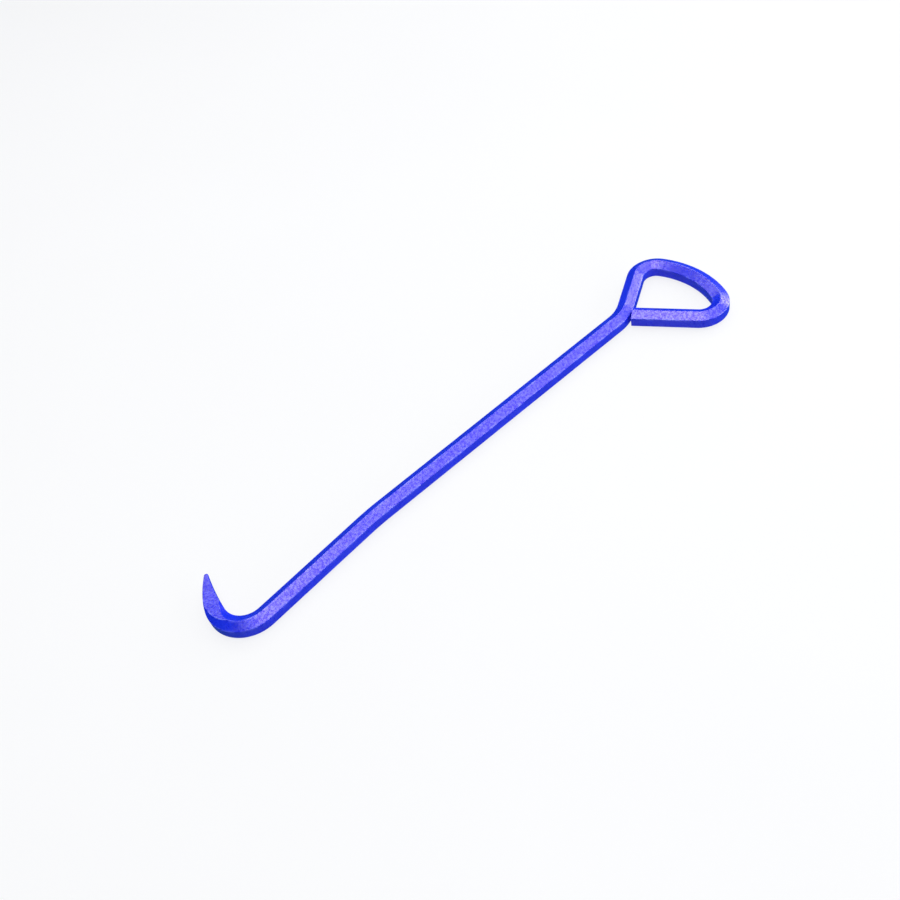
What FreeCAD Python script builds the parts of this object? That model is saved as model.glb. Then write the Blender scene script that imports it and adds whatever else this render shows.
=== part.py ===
"""One-piece manhole cover hook, forged and bent from a single hexagonal bar.

The bar lies flat: every bend is in one level plane, and the hexagon stands on a ridge, so that two of its
flats are upright and form the inner and outer sides of the bends. The solids are the forging zones of the
one bar, in order from the pointed hook to the cut end of the handle, and each meets the next face to face.
Units are millimetres. +X runs along the upper shank towards the handle, +Y is the side that the hook opens
to, +Z is up, and the origin is on the ground under the centre of the outline.
"""
import FreeCAD, Part
import math
import os

Vector = FreeCAD.Vector
UP = Vector(0, 0, 1)

# Bar stock
across_flats = 19.05            # three-quarter inch hexagon

# Shank
upper_shank_length = 347.7
set_bend_radius = 318.0
set_bend_angle = 4.7            # slight crook between the two straight stretches
lower_shank_length = 134.3

# Hook
hook_radius = 32.9              # of the centre line
hook_bend_angle = 67.0          # turned with the full hexagon
inner_follow_angle = 33.0       # how far each side of the point still follows the hook's curve
outer_follow_angle = 46.0
point_length = 54.1             # from where the inner side leaves the curve to the centre of the tip
tip_inward = 3.5                # from the line of the inner flat to the centre of the tip
tip_turn = 20.0                 # heading of the tip, on from where the inner side leaves the curve
tip_radius = 2.3
tip_thickness = 2.2
taper_hollow = 1.0              # how far the flat above and below the point dips under a straight taper

# Handle
neck_radius = 53.0
neck_angle = 30.7
near_arm_length = 52.1
first_corner_radius = 23.2
first_corner_angle = 96.7
bow_radius = 104.2
bow_angle = 49.8
last_corner_radius = 23.4
last_corner_angle = 119.6
end_gap = 0.3                   # clearance of the cut end from the bar that it closes on
end_skew = 3.0                  # the end is sawn this many degrees off square

half_flats = across_flats / 2
ridge_height = across_flats / math.sqrt(3)      # from the centre line to a ridge
side_height = ridge_height / 2                  # from the centre line to the edge of an upright flat
roof_slope = math.tan(math.radians(30))         # rise of a sloping flat, across the bar


def direction(degrees):
    """Level unit vector at this angle from +X."""
    angle = math.radians(degrees)
    return Vector(math.cos(angle), math.sin(angle), 0)


def left_of(heading):
    """Level unit vector a quarter turn to the left of a heading in degrees."""
    return direction(heading + 90)


class BarPen:
    """Follows the bar's centre line, and makes the solid of each stretch that it passes."""

    def __init__(self, place, heading):
        self.place = place
        self.heading = heading
        self.centre = None              # of the last bend

    def section(self):
        """The hexagon across the centre line, standing on a ridge."""
        side = left_of(self.heading)
        corners = [(0, ridge_height), (half_flats, side_height), (half_flats, -side_height),
                   (0, -ridge_height), (-half_flats, -side_height), (-half_flats, side_height)]
        points = [self.place + side * across + UP * height for across, height in corners]
        return Part.Face(Part.makePolygon(points + points[:1]))

    def run(self, length):
        """A straight stretch."""
        step = direction(self.heading) * length
        solid = self.section().extrude(step)
        self.place = self.place + step
        return solid

    def bend(self, radius, angle):
        """A bend of this centre-line radius, to the left where the angle is positive."""
        toward = math.copysign(1, angle)
        self.centre = self.place + left_of(self.heading) * radius * toward
        solid = self.section().revolve(self.centre, UP * toward, abs(angle))
        self.heading += angle
        self.place = self.centre - left_of(self.heading) * radius * toward
        return solid


def closing_arc(start, heading, end):
    """Radius and turn of the arc that leaves start along heading and arrives at end, turning right."""
    chord = end - start
    rightward = -chord.dot(left_of(heading))
    half_turn = math.atan2(rightward, chord.dot(direction(heading)))
    return chord.Length / 2 / math.sin(half_turn), math.degrees(2 * half_turn)


class PointSide:
    """One side of the hook's point: the hook's own curve for some degrees, then a long arc to the tip."""

    def __init__(self, pen, radius, follow_angle, tip_side):
        self.hook_centre = pen.centre
        self.hook_radius = radius
        self.follow_angle = follow_angle
        self.start_heading = pen.heading
        self.leave_heading = pen.heading - follow_angle
        self.leave = self.hook_centre + left_of(self.leave_heading) * radius
        self.arc_radius, self.arc_turn = closing_arc(self.leave, self.leave_heading, tip_side)
        self.arc_centre = self.leave - left_of(self.leave_heading) * self.arc_radius

    def edges(self):
        """The two arcs of the outline, in the level plane."""
        arcs = []
        for centre, radius, heading, turn in (
                (self.hook_centre, self.hook_radius, self.start_heading, self.follow_angle),
                (self.arc_centre, self.arc_radius, self.leave_heading, self.arc_turn)):
            places = [centre + left_of(heading - turn * share) * radius for share in (0, 0.5, 1)]
            arcs.append(Part.Arc(*places).toShape())
        return arcs

    def roof(self, inward):
        """The space between the two pairs of sloping flats that rise from this side towards the ridges."""
        margin = 2.0                    # outside the side itself
        spread = across_flats * 1.6     # past the ridges, to beyond the other side
        spill = 12.0                    # degrees past the ends of the side
        solids = []
        for centre, radius, heading, turn in (
                (self.hook_centre, self.hook_radius, self.start_heading + spill,
                 self.follow_angle + spill),
                (self.arc_centre, self.arc_radius, self.leave_heading, self.arc_turn + spill / 4)):
            outward = left_of(heading)
            place = centre + outward * radius
            rim = [(-margin, side_height - margin * roof_slope),
                   (spread, side_height + spread * roof_slope)]
            corners = rim + [(across, -height) for across, height in reversed(rim)]
            points = [place + outward * inward * across + UP * height for across, height in corners]
            face = Part.Face(Part.makePolygon(points + points[:1]))
            solids.append(face.revolve(centre, -UP, turn))
        return solids[0].fuse(solids[1])


def hook_point(pen):
    """The drawn-out point: hexagonal where it leaves the hook, with a flat above and below that thin it
    towards the tip, while its two sides close in on each other."""
    leave_heading = pen.heading - inner_follow_angle
    leave_place = pen.centre + left_of(leave_heading) * hook_radius
    tip = (leave_place + direction(leave_heading) * point_length
           - left_of(leave_heading) * (half_flats + tip_inward))

    tip_heading = leave_heading - tip_turn
    across_tip = left_of(tip_heading) * tip_radius
    inner = PointSide(pen, hook_radius - half_flats, inner_follow_angle, tip - across_tip)
    outer = PointSide(pen, hook_radius + half_flats, outer_follow_angle, tip + across_tip)
    nose_place = tip + direction(tip_heading) * tip_radius

    nose = Part.Arc(tip - across_tip, nose_place, tip + across_tip).toShape()
    root = Part.makeLine(pen.place + left_of(pen.heading) * half_flats,
                         pen.place - left_of(pen.heading) * half_flats)
    outline = Part.Wire(Part.__sortEdges__(inner.edges() + outer.edges() + [nose, root]))
    slab = Part.Face(outline).extrude(UP * 4 * ridge_height)
    slab.translate(UP * -2 * ridge_height)

    length = (nose_place - pen.place).dot(direction(tip_heading))
    width = 8 * across_flats
    corner = pen.place - left_of(tip_heading) * width / 2
    halves = []
    for over in (1, -1):
        root_edge = corner + UP * over * ridge_height
        nose_edge = corner + direction(tip_heading) * length + UP * over * tip_thickness / 2
        dip = (root_edge + nose_edge) / 2 - UP * over * taper_hollow
        halves.append((root_edge, dip, nose_edge))
    (top_root, top_dip, top_nose), (low_root, low_dip, low_nose) = halves
    behind = corner - direction(tip_heading) * across_flats
    profile = Part.Wire([
        Part.Arc(top_root, top_dip, top_nose).toShape(),
        Part.makeLine(top_nose, low_nose),
        Part.Arc(low_nose, low_dip, low_root).toShape(),
        Part.makeLine(low_root, behind - UP * 2 * ridge_height),
        Part.makeLine(behind - UP * 2 * ridge_height, behind + UP * 2 * ridge_height),
        Part.makeLine(behind + UP * 2 * ridge_height, top_root)])
    wedge = Part.Face(profile).extrude(left_of(tip_heading) * width)
    return slab.common(inner.roof(1)).common(outer.roof(-1)).common(wedge)


def trimmed(solid, place, heading):
    """What is left of a stretch when it is sawn off through this place, across this heading."""
    reach = 4 * across_flats
    corner = place + left_of(heading) * reach - UP * reach
    points = [corner, corner + UP * 2 * reach, corner + UP * 2 * reach - left_of(heading) * 2 * reach,
              corner - left_of(heading) * 2 * reach, corner]
    beyond = Part.Face(Part.makePolygon(points)).extrude(direction(heading) * reach)
    return solid.cut(beyond)


def reach_to_line(start, heading, place, line_heading):
    """How far start can travel along heading before it meets a straight line."""
    normal = left_of(line_heading)
    return (place - start).dot(normal) / direction(heading).dot(normal)


parts = {}

# The hook end, worked backwards from the lower end of the upper shank.
back = BarPen(Vector(0, 0, ridge_height), 180)
parts["shank_set_bend"] = back.bend(set_bend_radius, set_bend_angle)
parts["lower_shank"] = back.run(lower_shank_length)
parts["hook_bend"] = back.bend(hook_radius, -hook_bend_angle)
parts["hook_point"] = hook_point(back)

# The handle end.
bar = BarPen(Vector(0, 0, ridge_height), 0)
parts["upper_shank"] = bar.run(upper_shank_length)
parts["neck_bend"] = bar.bend(neck_radius, neck_angle)
neck_centre = bar.centre
parts["handle_near_arm"] = bar.run(near_arm_length)
parts["handle_first_corner"] = bar.bend(first_corner_radius, -first_corner_angle)
parts["handle_bow"] = bar.bend(bow_radius, -bow_angle)
parts["handle_last_corner"] = bar.bend(last_corner_radius, -last_corner_angle)

# The free arm runs until its sawn end is the named gap from the neck. The neck's outer side and the straight
# stretches on either hand are convex, so a point of the end meets them where it has crossed every tangent.
neck_side = neck_radius + half_flats + end_gap
tangents = [neck_angle * step / 60 for step in range(61)]
free_arm_length = math.inf
for step in range(-4, 5):
    side = half_flats * step / 4
    start = bar.place + left_of(bar.heading) * side
    meets = max(reach_to_line(start, bar.heading, neck_centre - left_of(tangent) * neck_side, tangent)
                for tangent in tangents)
    free_arm_length = min(free_arm_length, meets - side * math.tan(math.radians(end_skew)))
end_place = bar.place + direction(bar.heading) * free_arm_length
parts["handle_free_arm"] = trimmed(bar.run(free_arm_length + half_flats), end_place, bar.heading - end_skew)

whole = Part.Compound(list(parts.values())).optimalBoundingBox(False, False)
to_origin = Vector(-(whole.XMin + whole.XMax) / 2, -(whole.YMin + whole.YMax) / 2, 0)
os.makedirs("parts", exist_ok=True)
for node, solid in parts.items():
    solid.translate(to_origin)
    solid.exportStep(f"parts/{node}.step")
print(f"free arm {free_arm_length:.1f} mm, outline {whole.XLength:.1f} x {whole.YLength:.1f} mm")
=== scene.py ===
import math

import bmesh
import bpy
from mathutils import Matrix, Vector


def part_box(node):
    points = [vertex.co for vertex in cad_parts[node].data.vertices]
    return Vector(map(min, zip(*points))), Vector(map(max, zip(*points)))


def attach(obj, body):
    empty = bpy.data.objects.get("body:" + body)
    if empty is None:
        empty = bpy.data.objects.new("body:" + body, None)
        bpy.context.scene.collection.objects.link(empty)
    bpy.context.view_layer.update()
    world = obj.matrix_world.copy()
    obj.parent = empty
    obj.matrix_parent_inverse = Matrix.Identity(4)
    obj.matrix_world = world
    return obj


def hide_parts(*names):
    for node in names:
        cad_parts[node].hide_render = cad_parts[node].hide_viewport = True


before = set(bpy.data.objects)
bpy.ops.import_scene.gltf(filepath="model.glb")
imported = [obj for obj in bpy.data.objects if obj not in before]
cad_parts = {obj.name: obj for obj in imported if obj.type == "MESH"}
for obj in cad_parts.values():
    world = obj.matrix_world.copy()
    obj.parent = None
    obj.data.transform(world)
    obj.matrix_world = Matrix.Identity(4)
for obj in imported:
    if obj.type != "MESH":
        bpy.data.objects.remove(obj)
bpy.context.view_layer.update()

# ------------------------------------------------------------------------------------------------
# The bar. One length of three-quarter inch hexagonal steel, bent hot and flat: hook, slight crook
# in the shank, neck, and the handle's loop, which runs round to a sawn end that stops against the
# neck. Its ridges are rounded by rolling, and it is sprayed with blue enamel.
# ------------------------------------------------------------------------------------------------
UP = Vector((0, 0, 1))

across_flats = 0.01905
half_flats = across_flats / 2
ridge_height = across_flats / math.sqrt(3)      # of the upper ridge above the bar's middle
ridge_rounding = 0.0008

crook_radius, crook_turn = 0.318, 4.7           # radii of the bar's middle line, turns in degrees
lower_shank_length = 0.1343
hook_radius, hook_turn = 0.0329, 67.0
upper_shank_length = 0.3477
neck_radius, neck_turn = 0.053, 30.7
near_arm_length = 0.0521
first_corner_radius, first_corner_turn = 0.0232, 96.7
bow_radius, bow_turn = 0.1042, 49.8
last_corner_radius, last_corner_turn = 0.0234, 119.6
free_arm_length = 0.07296

saw_slope = math.tan(math.radians(3.0))         # the end is sawn a little off square
burr_edge = 0.0004                              # the file's pass round the sawn end
weld_distance = 2e-6                            # points nearer than this are one


def level(heading):
    """Level unit vector at this many degrees from +X."""
    return Vector((math.cos(math.radians(heading)), math.sin(math.radians(heading)), 0))


def left_of(heading):
    return level(heading + 90)


class Route:
    """Stations along the middle of the bar, each with its place and heading."""

    run_spacing = 0.002
    bend_spacing = 1.5              # degrees

    def __init__(self, place, heading):
        self.stations = [(place, heading)]
        self.centre = None          # of the last bend

    @property
    def end(self):
        return self.stations[-1]

    def run(self, length):
        place, heading = self.end
        steps = math.ceil(length / self.run_spacing)
        self.stations += [(place + level(heading) * length * step / steps, heading)
                          for step in range(1, steps + 1)]

    def bend(self, radius, angle):
        """A bend of this middle-line radius, to the left where the angle is positive."""
        place, heading = self.end
        reach = math.copysign(radius, angle)
        self.centre = place + left_of(heading) * reach
        steps = math.ceil(abs(angle) / self.bend_spacing)
        for step in range(1, steps + 1):
            turned = heading + angle * step / steps
            self.stations.append((self.centre - left_of(turned) * reach, turned))


# Both routes start where the upper shank meets the crook, and the bar is one run through them.
shank_low, shank_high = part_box("upper_shank")
shank_start = Vector((shank_low[0],
                      (shank_low[1] + shank_high[1]) / 2,
                      (shank_low[2] + shank_high[2]) / 2))

hook_route = Route(shank_start, 180)
hook_route.bend(crook_radius, crook_turn)
hook_route.run(lower_shank_length)
hook_route.bend(hook_radius, -hook_turn)

handle_route = Route(shank_start, 0)
handle_route.run(upper_shank_length)
handle_route.bend(neck_radius, neck_turn)
handle_route.run(near_arm_length)
handle_route.bend(first_corner_radius, -first_corner_turn)
handle_route.bend(bow_radius, -bow_turn)
handle_route.bend(last_corner_radius, -last_corner_turn)
handle_route.run(free_arm_length)

stations = [(place, heading + 180) for place, heading in reversed(hook_route.stations)]
stations += handle_route.stations[1:]
last_place, last_heading = stations[-1]
burr_place = last_place - level(last_heading) * burr_edge
stations[-1:] = [(burr_place, last_heading), (last_place, last_heading)]


class Wire:
    """A socket of a node tree. Arithmetic on it adds the Math node that does the sum."""

    def __init__(self, plan, socket):
        self.plan, self.socket = plan, socket

    def out(self, name):
        """Another output of the same node."""
        return Wire(self.plan, self.plan.find(self.socket.node.outputs, name))

    def sum(self, operation, first, second):
        return self.plan.node("ShaderNodeMath", {"operation": operation}, {0: first, 1: second})

    def __add__(self, other):
        return self.sum("ADD", self, other)

    def __radd__(self, other):
        return self.sum("ADD", other, self)

    def __sub__(self, other):
        return self.sum("SUBTRACT", self, other)

    def __rsub__(self, other):
        return self.sum("SUBTRACT", other, self)

    def __mul__(self, other):
        return self.sum("MULTIPLY", self, other)

    def __rmul__(self, other):
        return self.sum("MULTIPLY", other, self)

    def __truediv__(self, other):
        return self.sum("DIVIDE", self, other)

    def __rtruediv__(self, other):
        return self.sum("DIVIDE", other, self)


class Plan:
    """A node tree in the making, for a finish or for geometry."""

    def __init__(self, tree):
        self.tree = tree

    @staticmethod
    def find(sockets, key):
        if isinstance(key, int):
            return sockets[key]
        return next(s for s in sockets if key in (s.identifier, s.name))

    def node(self, kind, settings=None, inputs=None, output=0):
        """Adds a node. Its settings come first, then the values or wires of its sockets."""
        made = self.tree.nodes.new(kind)
        for name, value in (settings or {}).items():
            setattr(made, name, value)
        for key, value in (inputs or {}).items():
            socket = self.find(made.inputs, key)
            if isinstance(value, Wire):
                self.tree.links.new(value.socket, socket)
            else:
                socket.default_value = value
        return Wire(self, self.find(made.outputs, output)) if made.outputs else None


class Shaping(Plan):
    """A Geometry Nodes tree with named inputs, which bake() runs on an object."""

    def __init__(self, name, inputs):
        super().__init__(bpy.data.node_groups.new(name, "GeometryNodeTree"))
        interface = self.tree.interface
        for way in ("INPUT", "OUTPUT"):
            interface.new_socket("Geometry", in_out=way, socket_type="NodeSocketGeometry")
        self.keys = {}
        for name, kind in inputs.items():
            socket = interface.new_socket(name, in_out="INPUT", socket_type="NodeSocket" + kind)
            self.keys[name] = socket.identifier
        self.given = self.node("NodeGroupInput")

    def ends_with(self, geometry, material):
        geometry = self.node("GeometryNodeRealizeInstances", None, {"Geometry": geometry})
        geometry = self.node("GeometryNodeSetMaterial", None, {
            "Geometry": geometry, "Material": material})
        self.node("NodeGroupOutput", None, {"Geometry": geometry})

    def bake(self, blank, name, values):
        """The plain object that this tree makes of a blank, which is used up."""
        modifier = blank.modifiers.new(self.tree.name, "NODES")
        modifier.node_group = self.tree
        for key, value in values.items():
            modifier[self.keys[key]] = value
        bpy.context.view_layer.update()
        shaped = blank.evaluated_get(bpy.context.evaluated_depsgraph_get())
        mesh = bpy.data.meshes.new_from_object(shaped)
        blank.modifiers.remove(modifier)
        bpy.data.objects.remove(blank)
        mesh.name = name
        piece = bpy.data.objects.new(name, mesh)
        bpy.context.scene.collection.objects.link(piece)
        return piece


class Finish(Plan):
    """A material in the making."""

    def __init__(self, name):
        self.material = bpy.data.materials.new(name)
        self.material.use_nodes = True
        super().__init__(self.material.node_tree)
        self.tree.nodes.clear()
        self.place = self.node("ShaderNodeTexCoord", output="Object")

    def noise(self, size, detail, roughness=0.5):
        """Noise with features of about this size in metres, from 0 to 1 with its middle at 0.5."""
        return self.node("ShaderNodeTexNoise", None, {
            "Vector": self.place, "Scale": 1 / size, "Detail": detail, "Roughness": roughness})

    def mix(self, share, first, second):
        return self.node("ShaderNodeMix", {"data_type": "RGBA"}, {
            "Factor_Float": share, "A_Color": first, "B_Color": second}, "Result_Color")

    def ramp(self, value, low, high):
        """0 below low, 1 above high, and smooth between."""
        return self.node("ShaderNodeMapRange", {"interpolation_type": "SMOOTHSTEP"}, {
            "Value": value, "From Min": low, "From Max": high})


def blue_paint():
    """Blue enamel with a violet gloss, grainy where it catches the light. Its ridges are lighter
    in patches: partly thinner paint, partly a painted highlight.
    """
    deep, light = (0.002, 0.016, 0.66, 1), (0.006, 0.026, 0.80, 1)
    # A paler, whiter blue for the ridges, standing for thinner paint and partly for a painted
    # highlight line
    thinned_paint_and_highlight, thinned_paint_and_highlight_share = (0.28, 0.33, 0.95, 1), 0.4
    violet_gloss, under_coat_tint = (1.0, 0.66, 1.0, 1), (1.0, 0.93, 1.0, 1)
    grain_size, cloud_size, peel_size = 0.0026, 0.018, 0.0035
    smoothest, grain_roughness = 0.22, 0.16
    bump_height, bump_strength = 0.0003, 0.6

    paint = Finish("blue_paint")
    grain = paint.noise(grain_size, 3, 0.7)
    cloud = paint.noise(cloud_size, 2)
    orange_peel = paint.noise(peel_size, 2)
    ridge = paint.node("ShaderNodeAttribute", {"attribute_name": "ridge"}, output="Fac")
    # Lighter patches on the ridges: partly thinner paint, partly a painted highlight line
    ridge_wear_and_highlight = ridge * paint.ramp(cloud + grain * 0.6, 0.70, 1.05)
    body = paint.mix(paint.ramp(grain * 0.6 + cloud * 0.4, 0.38, 0.62), deep, light)
    colour = paint.mix(ridge_wear_and_highlight * thinned_paint_and_highlight_share, body, thinned_paint_and_highlight)
    bump = paint.node("ShaderNodeBump", None, {
        "Strength": bump_strength, "Distance": bump_height, "Height": grain * 0.8 + orange_peel})
    surface = paint.node("ShaderNodeBsdfPrincipled", None, {
        "Base Color": colour, "Roughness": smoothest + grain * grain_roughness, "Normal": bump,
        "IOR": 1.75, "Specular Tint": violet_gloss,
        "Coat Weight": paint.ramp(grain, 0.4, 0.6), "Coat IOR": 1.8, "Coat Roughness": 0.25,
        "Coat Tint": under_coat_tint})
    paint.node("ShaderNodeOutputMaterial", None, {"Surface": surface})
    return paint.material


def sweep_tree():
    """Hexagon with rounded ridges, standing on a ridge, drawn along a route of mesh edges."""
    on_a_ridge = (0, 0, math.radians(90))
    ridge_mark_starts, ridge_mark_full = 0.9, 0.3        # roundings inside the sharp ridge where the ridge mark (thinner paint and painted highlight) starts and is full

    plan = Shaping("hexagon_along_route", {
        "Across Flats": "Float", "Ridge Rounding": "Float",
        "Rounding Steps": "Int", "Flat Steps": "Int", "Finish": "Material"})
    given = plan.given
    rounding = given.out("Ridge Rounding")
    sharp_ridge = given.out("Across Flats") / math.sqrt(3)
    hexagon = plan.node("GeometryNodeCurvePrimitiveCircle", None, {
        "Resolution": 6, "Radius": sharp_ridge})
    hexagon = plan.node("GeometryNodeTransform", None, {
        "Geometry": hexagon, "Rotation": on_a_ridge})
    hexagon = plan.node("GeometryNodeSubdivideCurve", None, {
        "Curve": hexagon, "Cuts": given.out("Flat Steps")})
    hexagon = plan.node("GeometryNodeFilletCurve", {"mode": "POLY"}, {
        "Curve": hexagon, "Count": given.out("Rounding Steps"), "Radius": rounding,
        "Limit Radius": False})
    place = plan.node("GeometryNodeInputPosition")
    reach = plan.node("ShaderNodeVectorMath", {"operation": "LENGTH"}, {"Vector": place}, "Value")
    edge = plan.node("ShaderNodeMapRange", None, {
        "Value": reach, "From Min": sharp_ridge - rounding * ridge_mark_starts,
        "From Max": sharp_ridge - rounding * ridge_mark_full})
    hexagon = plan.node(
        "GeometryNodeStoreNamedAttribute", {"data_type": "FLOAT", "domain": "POINT"}, {
            "Geometry": hexagon, "Name": "ridge", "Value": edge})

    route = plan.node("GeometryNodeMeshToCurve", None, {"Mesh": given.out("Geometry")})
    route = plan.node("GeometryNodeSetCurveNormal", {"mode": "Z_UP"}, {"Curve": route})
    route = plan.node(
        "GeometryNodeStoreNamedAttribute", {"data_type": "FLOAT_VECTOR", "domain": "POINT"}, {
            "Geometry": route, "Name": "middle", "Value": place})
    scale = plan.node("GeometryNodeInputNamedAttribute", {"data_type": "FLOAT"}, {"Name": "scale"})
    bar = plan.node("GeometryNodeCurveToMesh", None, {
        "Curve": route, "Profile Curve": hexagon, "Scale": scale, "Fill Caps": True})
    # The fillet puts spare points on the cuts across each flat, all in one place.
    bar = plan.node("GeometryNodeMergeByDistance", None, {
        "Geometry": bar, "Distance": weld_distance})

    # The sawn end leans: each of its points moves along the bar by its reach to the left.
    middle, lean, ahead = [
        plan.node("GeometryNodeInputNamedAttribute", {"data_type": "FLOAT_VECTOR"}, {"Name": name})
        for name in ("middle", "lean", "ahead")]
    aside = plan.node("ShaderNodeVectorMath", {"operation": "SUBTRACT"}, {0: place, 1: middle})
    shift = plan.node("ShaderNodeVectorMath", {"operation": "DOT_PRODUCT"}, {
        0: aside, 1: lean}, "Value")
    offset = plan.node("ShaderNodeVectorMath", {"operation": "SCALE"}, {0: ahead, "Scale": shift})
    bar = plan.node("GeometryNodeSetPosition", None, {"Geometry": bar, "Offset": offset})
    plan.ends_with(bar, given.out("Finish"))
    return plan


def forging_tree():
    """The long swells and shallow dents that rolling and bending leave, and smooth shading."""
    noise_middle, noise_to_height = (0.5, 0.5, 0.5), 2

    plan = Shaping("forged_surface", {
        "Swell Height": "Float", "Swell Length": "Float",
        "Dent Height": "Float", "Dent Length": "Float",
        "Seed": "Float", "Sharp Angle": "Float", "Finish": "Material"})
    given = plan.given
    place = plan.node("GeometryNodeInputPosition")
    shape = given.out("Geometry")
    for height, length in (("Swell Height", "Swell Length"), ("Dent Height", "Dent Length")):
        noise = plan.node("ShaderNodeTexNoise", {"noise_dimensions": "4D"}, {
            "Vector": place, "W": given.out("Seed"), "Scale": 1 / given.out(length),
            "Detail": 1.0}, "Color")
        around = plan.node("ShaderNodeVectorMath", {"operation": "SUBTRACT"}, {
            0: noise, 1: noise_middle})
        offset = plan.node("ShaderNodeVectorMath", {"operation": "SCALE"}, {
            0: around, "Scale": given.out(height) * noise_to_height})
        shape = plan.node("GeometryNodeSetPosition", None, {"Geometry": shape, "Offset": offset})
    bend = plan.node("GeometryNodeInputMeshEdgeAngle")
    gentle = plan.node("FunctionNodeCompare", {"operation": "LESS_THAN"}, {
        "A": bend, "B": given.out("Sharp Angle")})
    shape = plan.node("GeometryNodeSetShadeSmooth", {"domain": "EDGE"}, {
        "Geometry": shape, "Shade Smooth": gentle})
    shape = plan.node("GeometryNodeSetShadeSmooth", {"domain": "FACE"}, {
        "Geometry": shape, "Shade Smooth": True})
    plan.ends_with(shape, given.out("Finish"))
    return plan


paint = blue_paint()
forging = forging_tree()
forging_values = {
    "Swell Height": 0.00008, "Swell Length": 0.035, "Dent Height": 0.00002, "Dent Length": 0.007,
    "Seed": 3.0, "Sharp Angle": math.radians(32), "Finish": paint}

# Only the last ring is smaller, by the filed edge, and only the last two lean with the saw cut.
plain_scales = [1.0] * (len(stations) - 1)
plain_leans = [0.0] * 3 * (len(stations) - 2)
route_facts = {
    "scale": ("FLOAT", "value", plain_scales + [1 - burr_edge / half_flats]),
    "ahead": ("FLOAT_VECTOR", "vector", [c for _, heading in stations for c in level(heading)]),
    "lean": ("FLOAT_VECTOR", "vector", plain_leans + list(left_of(last_heading) * saw_slope) * 2)}
route_mesh = bpy.data.meshes.new("route")
route_mesh.from_pydata([place for place, _ in stations],
                       [(i, i + 1) for i in range(len(stations) - 1)], [])
for name, (kind, field, values) in route_facts.items():
    route_mesh.attributes.new(name, kind, "POINT").data.foreach_set(field, values)
blank = bpy.data.objects.new("route", route_mesh)
bpy.context.scene.collection.objects.link(blank)
swept = sweep_tree().bake(blank, "swept_bar", {
    "Across Flats": across_flats, "Ridge Rounding": ridge_rounding,
    "Rounding Steps": 6, "Flat Steps": 7, "Finish": paint})
bar = forging.bake(swept, "forged_bar", forging_values)
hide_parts("hook_bend", "lower_shank", "shank_set_bend", "upper_shank", "neck_bend",
            "handle_near_arm", "handle_first_corner", "handle_bow", "handle_last_corner",
            "handle_free_arm")
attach(bar, "root")

# ------------------------------------------------------------------------------------------------
# The hook's point. The last of the bar is drawn out under the hammer: a flat above and below thin
# it towards the tip, while its two upright sides close in on each other. It is ground to a blunt,
# rounded nose, and painted with the rest.
# ------------------------------------------------------------------------------------------------
side_height = ridge_height / 2
roof_pitch = 30                                 # of the hexagon's two upper faces
roof_slope = math.tan(math.radians(roof_pitch))
roof_lean = math.cos(math.radians(roof_pitch))
inner_follow, outer_follow = 33.0, 46.0         # how far each side keeps to the hook's own curve
point_length = 0.0541
tip_inward, tip_turn = 0.0035, 20.0
tip_radius, tip_thickness = 0.0023, 0.0022
taper_hollow = 0.0010
tip_rounding = 0.0006
outer_edge_wear_and_highlight = 3.5                           # strength of the painted highlight, with thinner paint, along the point's outer top edge, where a ridge has 1

near_rows, far_rows, nose_rows = 22, 44, 8
flat_shares = (0.08, 0.36, 0.64, 0.92)          # points across a flat, between its edges
side_lifts = range(0, 61, 10)                   # degrees above level, round a side's upper edge
flat_lifts = range(60, 91, 10)                  # and round an edge of the flat above
roof_lift = 90 - roof_pitch

root_place, root_heading = hook_route.end
hook_centre = hook_route.centre
leave_heading = root_heading - inner_follow
tip_heading = leave_heading - tip_turn
tip = (hook_centre + left_of(leave_heading) * (hook_radius - half_flats - tip_inward)
       + level(leave_heading) * point_length)


class PointSide:
    """An upright side of the point: the hook's own curve first, then one long arc to the tip."""

    def __init__(self, face, follow):
        self.face = face                        # +1 outside the hook, -1 inside
        self.near_radius = hook_radius + face * half_flats
        self.turn_heading = root_heading - follow
        self.leave = hook_centre + left_of(self.turn_heading) * self.near_radius
        chord = tip + left_of(tip_heading) * face * tip_radius - self.leave
        half_turn = math.atan2(-chord.dot(left_of(self.turn_heading)),
                               chord.dot(level(self.turn_heading)))
        self.far_radius = chord.length / 2 / math.sin(half_turn)
        self.far_turn = math.degrees(2 * half_turn)
        self.far_centre = self.leave - left_of(self.turn_heading) * self.far_radius
        self.near_length = math.radians(follow) * self.near_radius
        self.length = self.near_length + math.radians(self.far_turn) * self.far_radius

    def at(self, length):
        """Place on the side this far from the root, and the way out of the metal there."""
        if length <= self.near_length:
            out = left_of(root_heading - math.degrees(length / self.near_radius))
            return hook_centre + out * self.near_radius, out * self.face
        turned = math.degrees((length - self.near_length) / self.far_radius)
        out = left_of(self.turn_heading - turned)
        return self.far_centre + out * self.far_radius, out * self.face

    def depth(self, place):
        """How far inside this side a place is."""
        if (place - self.leave).dot(level(self.turn_heading)) < 0:
            centre, radius = hook_centre, self.near_radius
        else:
            centre, radius = self.far_centre, self.far_radius
        return (radius - (place - centre).xy.length) * self.face


inner_side, outer_side = sides = PointSide(-1, inner_follow), PointSide(1, outer_follow)
taper_length = (tip - root_place).dot(level(tip_heading)) + tip_radius
taper_drop = ridge_height - tip_thickness / 2


def taper_height(place):
    """Height of the flat above the point, which dips in an arc from the root to the nose."""
    along = (place - root_place).dot(level(tip_heading)) / taper_length
    if along < 0:
        return 2 * ridge_height                 # behind the root, clear of the metal
    return ridge_height - taper_drop * along - 4 * taper_hollow * along * (1 - along)


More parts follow.
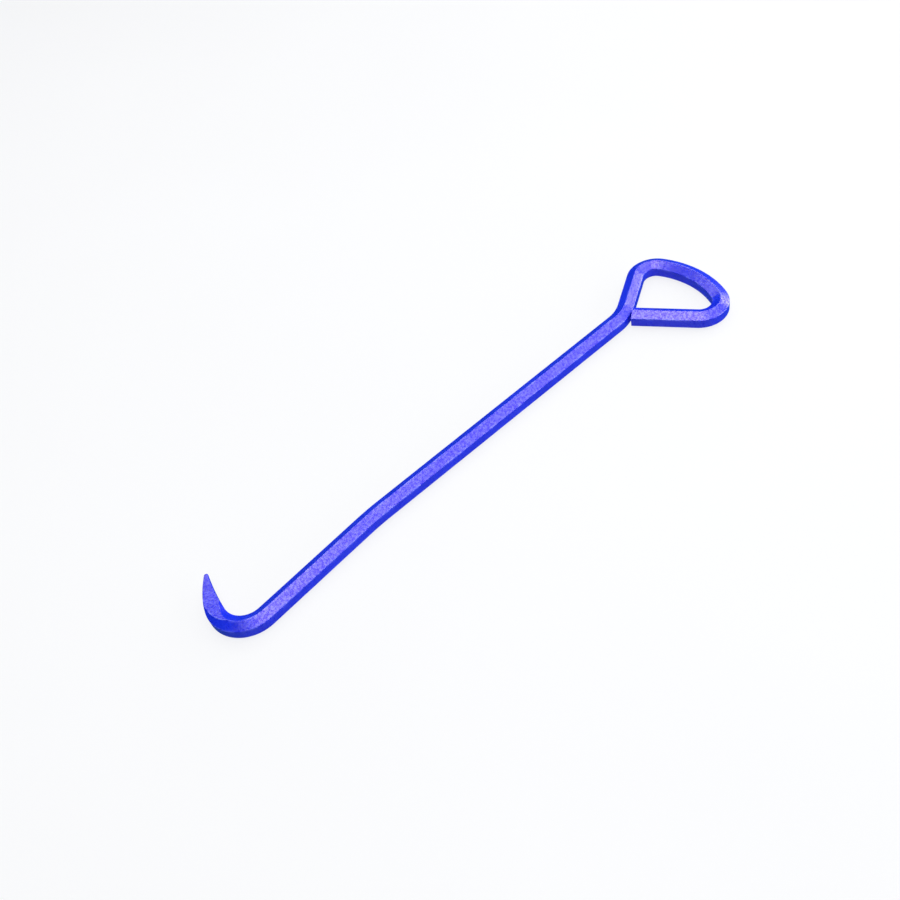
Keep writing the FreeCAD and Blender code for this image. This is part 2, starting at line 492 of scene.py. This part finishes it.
def point_section(inner, outer, rounding, edge_wear_and_highlight):
    """Ring of points round the metal between a place on each side, with its edges rounded."""
    (inner_place, inner_out), (outer_place, outer_out) = inner, outer
    first, last = inner_place - inner_out * rounding, outer_place - outer_out * rounding
    halvings, near_an_end = 40, 1e-6

    def roofs(share):
        place = first.lerp(last, share)
        return [side_height + side.depth(place) * roof_slope - rounding / roof_lean
                for side in sides] + [taper_height(place) - rounding]

    def reached(rises, start, end):
        """Where the roof that rises from start reaches the flat or the other roof."""
        heights = roofs(start)
        if heights[rises] >= min(heights[1 - rises], heights[2]):
            return start
        for _ in range(halvings):
            middle = (start + end) / 2
            heights = roofs(middle)
            if heights[rises] < min(heights[1 - rises], heights[2]):
                start = middle
            else:
                end = middle
        return end if abs(end - round(end)) > near_an_end else round(end)

    inner_top, outer_top = reached(0, 0.0, 1.0), reached(1, 1.0, 0.0)
    if inner_top > outer_top:
        inner_top = outer_top = (inner_top + outer_top) / 2

    # Each point has its share of the way across, the way out, its lift and its ridge mark, which
    # stands for thinner paint and a painted highlight.
    upper = [(0.0, inner_out, lift, 1) for lift in side_lifts]
    upper += [(inner_top * share, inner_out, roof_lift, 0) for share in flat_shares]
    upper += [(inner_top, inner_out, lift, 1) for lift in flat_lifts]
    upper += [(inner_top + (outer_top - inner_top) * share, outer_out, 90, 0)
              for share in flat_shares]
    upper += [(outer_top, outer_out, lift, edge_wear_and_highlight) for lift in reversed(flat_lifts)]
    upper += [(outer_top + (1 - outer_top) * share, outer_out, roof_lift, 0)
              for share in flat_shares]
    upper += [(1.0, outer_out, lift, 1) for lift in reversed(side_lifts)]
    ring = []
    for share, out, lift, _ in upper:
        lift = math.radians(lift)
        outward = out * math.cos(lift) + UP * math.sin(lift)
        ring.append(first.lerp(last, share) + UP * min(roofs(share)) + outward * rounding)
    mirror = [Vector((p.x, p.y, 2 * root_place.z - p.z)) for p in reversed(ring)]
    outer_flat = [ring[-1].lerp(mirror[0], share) for share in flat_shares]
    inner_flat = [mirror[-1].lerp(ring[0], share) for share in flat_shares]
    edges = [edge for _, _, _, edge in upper]
    plain = [0] * len(flat_shares)
    return ring + outer_flat + mirror + inner_flat, edges + plain + edges[::-1] + plain


sections = []
for row in range(near_rows + 1):
    angle = math.radians(inner_follow * row / near_rows)
    sections.append([side.at(angle * side.near_radius) for side in sides])
for row in range(1, far_rows + 1):
    share = row / far_rows
    starts = [math.radians(inner_follow) * side.near_radius for side in sides]
    sections.append([side.at(start + (side.length - start) * share)
                     for side, start in zip(sides, starts)])
for row in range(nose_rows + 1):
    angle = math.radians(90 * row / nose_rows)
    outs = [left_of(tip_heading) * face * math.cos(angle) + level(tip_heading) * math.sin(angle)
            for face in (-1, 1)]
    sections.append([(tip + out * tip_radius, out) for out in outs])

shell = bmesh.new()
ridge_layer = shell.verts.layers.float.new("ridge")
points = []
for row, (inner, outer) in enumerate(sections):
    share = min(1.0, row / (near_rows + far_rows))
    rounding = ridge_rounding + (tip_rounding - ridge_rounding) * share
    # The painted highlight along the outer top edge builds up over the hook's own curve
    edge_wear_and_highlight = 1 + (outer_edge_wear_and_highlight - 1) * min(1.0, row / near_rows)
    ring, edges = point_section(inner, outer, rounding, edge_wear_and_highlight)
    points.append([shell.verts.new(place) for place in ring])
    for vertex, edge in zip(points[-1], edges):
        vertex[ridge_layer] = edge
around = len(points[0])
for near, far in zip(points, points[1:]):
    for i in range(around):
        j = (i + 1) % around
        shell.faces.new((near[i], near[j], far[j], far[i]))
shell.faces.new(points[0])
bmesh.ops.remove_doubles(shell, verts=shell.verts, dist=weld_distance)
bmesh.ops.recalc_face_normals(shell, faces=shell.faces)
point_mesh = bpy.data.meshes.new("point_blank")
shell.to_mesh(point_mesh)
shell.free()
blank = bpy.data.objects.new("point_blank", point_mesh)
bpy.context.scene.collection.objects.link(blank)
point = forging.bake(blank, "drawn_point", forging_values)
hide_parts("hook_point")
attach(point, "root")

# ------------------------------------------------------------------------------------------------
# The studio. The bar lies on a plain pale table that runs out to a white backdrop. Soft boxes
# stand round it, the strongest overhead, behind and low on the right, with weaker fills on the
# left, and a wide ceiling lamp adds soft light.
# ------------------------------------------------------------------------------------------------
scene = bpy.context.scene
scene.view_settings.view_transform = "Standard"
table_reach = 12.0
backdrop_foot, backdrop_top = -0.01, 24.0


def stage_piece(name, corners, faces, surface_of):
    """A plain piece of the studio, which isn't part of the object."""
    finish = Finish(name)
    finish.node("ShaderNodeOutputMaterial", None, {"Surface": surface_of(finish)})
    mesh = bpy.data.meshes.new(name)
    mesh.from_pydata(corners, [], faces)
    mesh.materials.append(finish.material)
    piece = bpy.data.objects.new(name, mesh)
    scene.collection.objects.link(piece)
    piece.visible_glossy = False
    return piece


def pale_laminate(finish):
    """Matt, with a faint cloudiness. Its own light keeps the shadows on it weak."""
    darker, lighter, cloud_size = (0.11, 0.11, 0.11, 1), (0.13, 0.13, 0.13, 1), 0.4
    tint = finish.mix(finish.noise(cloud_size, 2), darker, lighter)
    return finish.node("ShaderNodeBsdfPrincipled", None, {
        "Base Color": tint, "Roughness": 0.9, "Specular IOR Level": 0.0,
        "Emission Color": (1, 1, 1, 1), "Emission Strength": 0.835})


def white_glow(finish):
    return finish.node("ShaderNodeEmission", None, {"Color": (0.98, 0.98, 0.98, 1)})


square = [(-table_reach, -table_reach), (table_reach, -table_reach),
          (table_reach, table_reach), (-table_reach, table_reach)]
stage_piece("table", [(x, y, 0) for x, y in square], [(0, 1, 2, 3)], pale_laminate)
walls = [(i, (i + 1) % 4, (i + 1) % 4 + 4, i + 4) for i in range(4)]
roof = (4, 5, 6, 7)
backdrop = stage_piece(
    "backdrop", [(x, y, z) for z in (backdrop_foot, backdrop_top) for x, y in square],
    walls + [roof], white_glow)
backdrop.visible_diffuse = backdrop.visible_shadow = False

world = bpy.data.worlds.new("studio")
world.use_nodes = True
room_light = world.node_tree.nodes["Background"].inputs
room_light["Color"].default_value = (0.1, 0.4, 1, 1)
room_light["Strength"].default_value = 0.2
scene.world = world

camera_place = Vector((-0.39427, -0.64747, 0.84694))
aim = Vector((-0.03389, 0.00989, 0.01100))
camera_roll = math.radians(-16.39)
light_distance = 2.0
view_heading = math.degrees(math.atan2(aim.y - camera_place.y, aim.x - camera_place.x))


def soft_box(name, aside, elevation, width, height, brightness):
    """A soft box facing the bar, this many degrees round to the right from behind the camera."""
    lamp = bpy.data.lights.new(name, "AREA")
    lamp.shape, lamp.size, lamp.size_y = "RECTANGLE", width, height
    lamp.energy = brightness * math.pi * width * height
    rise = math.radians(elevation)
    back = -level(view_heading + aside) * math.cos(rise) + UP * math.sin(rise)
    placed = bpy.data.objects.new(name, lamp)
    placed.location = back * light_distance
    placed.rotation_euler = back.to_track_quat("Z", "Y").to_euler()
    placed.visible_camera = False
    scene.collection.objects.link(placed)
    return placed


soft_box("overhead", 0, 88, 0.9, 0.9, 3.4)
soft_box("right_low", 72, 18, 3.2, 0.8, 3.9)
soft_box("front_high", 18, 66, 1.1, 0.8, 2.3)
soft_box("right_high", 92, 54, 1.2, 1.0, 1.6)
soft_box("right_back", 140, 40, 0.8, 0.8, 2.9)
soft_box("left_fill", 216, 42, 0.8, 0.8, 1.5)
soft_box("left_top", 315, 62, 0.8, 0.8, 1.0)
soft_box("back_top", 180, 58, 0.8, 0.8, 2.9)
soft_box("right_glint", 118, 20, 1.0, 0.7, 2.6)
ceiling = soft_box("ceiling", 0, 90, 3.0, 3.0, 0.6)
ceiling.visible_glossy = False

camera_data = bpy.data.cameras.new("camera")
camera_data.lens = 41.97
camera_data.sensor_width = 36
camera_data.shift_x, camera_data.shift_y = -0.00056, 0.00056
camera_data.clip_start, camera_data.clip_end = 0.05, 60
camera = bpy.data.objects.new("camera", camera_data)
scene.collection.objects.link(camera)
scene.camera = camera
ahead = (aim - camera_place).normalized()
across = ahead.cross(UP).normalized()
above = across.cross(ahead)
right = across * math.cos(camera_roll) + above * math.sin(camera_roll)
top = above * math.cos(camera_roll) - across * math.sin(camera_roll)
facing = Matrix((right, top, -ahead)).transposed().to_4x4()
camera.matrix_world = Matrix.Translation(camera_place) @ facing
